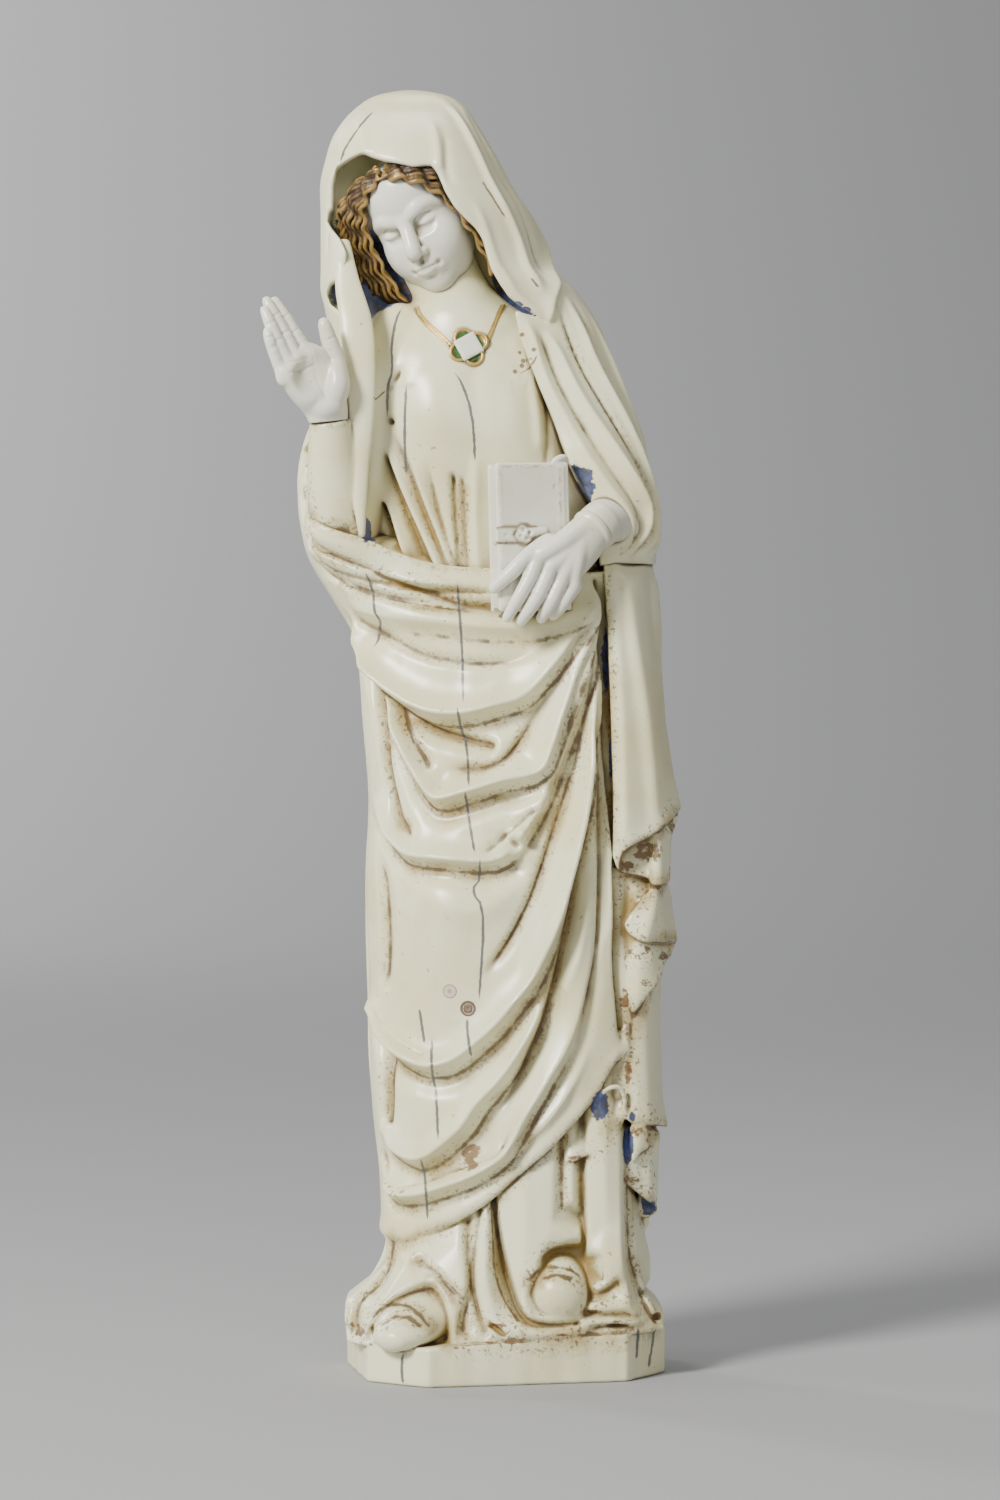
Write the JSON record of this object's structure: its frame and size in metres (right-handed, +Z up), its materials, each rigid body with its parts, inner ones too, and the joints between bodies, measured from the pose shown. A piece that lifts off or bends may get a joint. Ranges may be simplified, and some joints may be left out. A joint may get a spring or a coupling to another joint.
{
  "type": "gothic virgin statuette",
  "caption": "Standing veiled woman carved in ivory, with one hand raised and a closed book in the other, on a low eight-sided plinth.",
  "frame": {"origin": "middle of the plinth's underside", "axes": "+Z up along the figure's height, +Y to the back of the plinth, +X to the figure's left"},
  "size_m": [0.1019, 0.0642, 0.3002],
  "materials": {
    "ivory": "polished warm ivory with brown dirt in the hollows",
    "pale_ivory": "polished pale ivory",
    "dark_plug": "satin brown-grey end grain",
    "pale_plug": "satin pale end grain"
  },
  "bodies": {
    "root": {"figure": "ivory", "raised_hand": "pale_ivory", "dark_peg": "dark_plug", "pale_peg": "pale_plug"}
  },
  "joints": []
}
